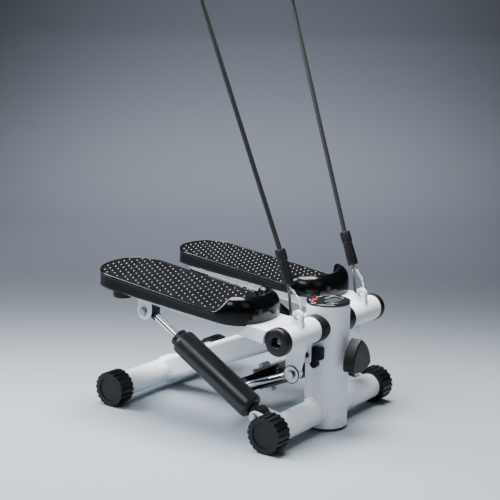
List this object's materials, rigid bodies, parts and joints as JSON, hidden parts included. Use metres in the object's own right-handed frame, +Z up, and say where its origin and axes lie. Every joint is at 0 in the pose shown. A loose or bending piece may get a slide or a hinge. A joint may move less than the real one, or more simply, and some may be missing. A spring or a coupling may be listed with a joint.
{
  "type": "mini stepper",
  "caption": "Compact stepper: two pedals on rocking arms linked by a rocker, hydraulic dampers, a column with console and knob, and two elastic pull bands.",
  "frame": {"origin": "on the floor, under the middle of the machine's length and width", "axes": "+X forward, from the pedals' heels towards the column; +Y to the user's left; +Z up"},
  "size_m": [0.432, 0.341, 0.7769],
  "materials": {
    "white_paint": "satin",
    "black_paint": "gloss",
    "chrome": "polished",
    "zinc": "zinc plated",
    "black_rubber": "matt",
    "black_plastic": "fine moulded grain",
    "pedal_black": "gloss guard, satin sides",
    "console_black": "gloss",
    "red_button": "gloss",
    "bush_nylon": "machined",
    "cord_black": "braided",
    "strap_black": "woven",
    "grip_foam": "foam"
  },
  "bodies": {
    "root": {"front_cross_tube": "white_paint", "rear_cross_tube": "white_paint", "column": "white_paint", "main_beam": "white_paint", "front_foot_caps": "black_rubber", "rear_foot_caps": "black_rubber", "column_base_plug": "black_plastic", "console_housing": "console_black", "sensor_block": "black_plastic", "axle": "zinc", "axle_end_screws": "zinc", "axle_collars": "black_plastic", "damper_brackets": "white_paint", "damper_foot_bolts": "zinc", "rocker_bracket": "black_paint", "rocker_bolt": "zinc"},
    "button": {"console_button": "red_button"},
    "knob": {"adjust_knob": "black_plastic", "adjust_screw": "zinc"},
    "rocker": {"rocker_bar": "black_paint"},
    "right_arm": {"right_arm": "white_paint", "right_pivot_tube": "white_paint", "right_pivot_bushes": "bush_nylon", "right_pivot_cap": "black_plastic", "right_link_lug": "white_paint", "right_link_bolt": "zinc", "right_band_eye": "white_paint", "right_pedal": "pedal_black", "right_heel_bumper": "black_rubber", "right_damper_clevis": "white_paint", "right_clevis_bolt": "zinc"},
    "right_link": {"right_link_rod": "chrome"},
    "right_damper": {"right_damper_tube": "black_paint"},
    "right_damper_rod": {"right_damper_rod": "chrome", "right_damper_eye": "black_plastic"},
    "right_band": {"right_band_hook": "chrome", "right_band_sleeve": "black_rubber", "right_band_cord": "cord_black", "right_band_strap": "strap_black", "right_band_grip": "grip_foam"},
    "left_arm": {"left_arm": "white_paint", "left_pivot_tube": "white_paint", "left_pivot_bushes": "bush_nylon", "left_pivot_cap": "black_plastic", "left_link_lug": "white_paint", "left_link_bolt": "zinc", "left_band_eye": "white_paint", "left_pedal": "pedal_black", "left_heel_bumper": "black_rubber", "left_damper_clevis": "white_paint", "left_clevis_bolt": "zinc"},
    "left_link": {"left_link_rod": "chrome"},
    "left_damper": {"left_damper_tube": "black_paint"},
    "left_damper_rod": {"left_damper_rod": "chrome", "left_damper_eye": "black_plastic"},
    "left_band": {"left_band_hook": "chrome", "left_band_sleeve": "black_rubber", "left_band_cord": "cord_black", "left_band_strap": "strap_black", "left_band_grip": "grip_foam"}
  },
  "joints": [
    {"name": "right_arm_pivot", "type": "hinge", "parent": "root", "child": "right_arm", "pos_m": [0.1505, 0, 0.17], "axis": [0, 1, 0], "range_deg": [-15, 15]},
    {"name": "left_arm_pivot", "type": "hinge", "parent": "root", "child": "left_arm", "pos_m": [0.1505, 0, 0.17], "axis": [0, 1, 0], "range_deg": [-15.2, 15.2]},
    {"name": "rocker_pivot", "type": "hinge", "parent": "root", "child": "rocker", "pos_m": [0.035, 0, 0.06], "axis": [-0.3987, 0, 0.9171], "range_deg": [-11.7, 11.7]},
    {"name": "right_link_pivot", "type": "hinge", "parent": "right_arm", "child": "right_link", "pos_m": [0.14, -0.074, 0.104], "axis": [0, 1, 0], "range_deg": [-20, 20]},
    {"name": "right_damper_swing", "type": "hinge", "parent": "root", "child": "right_damper", "pos_m": [0.1085, -0.125, 0.042], "axis": [0, 1, 0], "range_deg": [-13.8, 13.8]},
    {"name": "right_rod_slide", "type": "slide", "parent": "right_damper", "child": "right_damper_rod", "axis": [-0.862, 0, 0.5069], "range_m": [-0.0346, 0.0346]},
    {"name": "right_band_swing", "type": "hinge", "parent": "right_arm", "child": "right_band", "pos_m": [0.1545, -0.0935, 0.201], "axis": [0, 1, 0], "range_deg": [-15.2, 15.2]},
    {"name": "left_link_pivot", "type": "hinge", "parent": "left_arm", "child": "left_link", "pos_m": [0.14, 0.074, 0.104], "axis": [0, 1, 0], "range_deg": [-20, 20]},
    {"name": "left_damper_swing", "type": "hinge", "parent": "root", "child": "left_damper", "pos_m": [0.1085, 0.125, 0.042], "axis": [0, 1, 0], "range_deg": [-13.8, 13.8]},
    {"name": "left_rod_slide", "type": "slide", "parent": "left_damper", "child": "left_damper_rod", "axis": [-0.862, 0, 0.5069], "range_m": [-0.0346, 0.0346]},
    {"name": "left_band_swing", "type": "hinge", "parent": "left_arm", "child": "left_band", "pos_m": [0.1545, 0.0935, 0.201], "axis": [0, 1, 0], "range_deg": [-15.2, 15.2]},
    {"name": "knob_turn", "type": "hinge", "parent": "root", "child": "knob", "pos_m": [0.185, 0, 0.124], "axis": [1, 0, 0], "range_deg": [-360, 360]},
    {"name": "button_press", "type": "slide", "parent": "root", "child": "button", "axis": [0, 0, -1], "range_m": [0, 0.0008], "stiffness_N_per_m": 600}
  ],
  "couplings": [
    {"joint": "left_arm_pivot", "follows": "right_arm_pivot", "ratio": -1},
    {"joint": "rocker_pivot", "follows": "right_arm_pivot", "ratio": -0.7642},
    {"joint": "right_link_pivot", "follows": "right_arm_pivot", "ratio": -1.3125},
    {"joint": "right_damper_swing", "follows": "right_arm_pivot", "ratio": 0.8977},
    {"joint": "right_rod_slide", "follows": "right_arm_pivot", "m_per_rad": 0.13054},
    {"joint": "right_band_swing", "follows": "right_arm_pivot", "ratio": -1},
    {"joint": "left_link_pivot", "follows": "right_arm_pivot", "ratio": 1.3125},
    {"joint": "left_damper_swing", "follows": "right_arm_pivot", "ratio": -0.8977},
    {"joint": "left_rod_slide", "follows": "right_arm_pivot", "m_per_rad": -0.13054},
    {"joint": "left_band_swing", "follows": "right_arm_pivot", "ratio": 1}
  ]
}
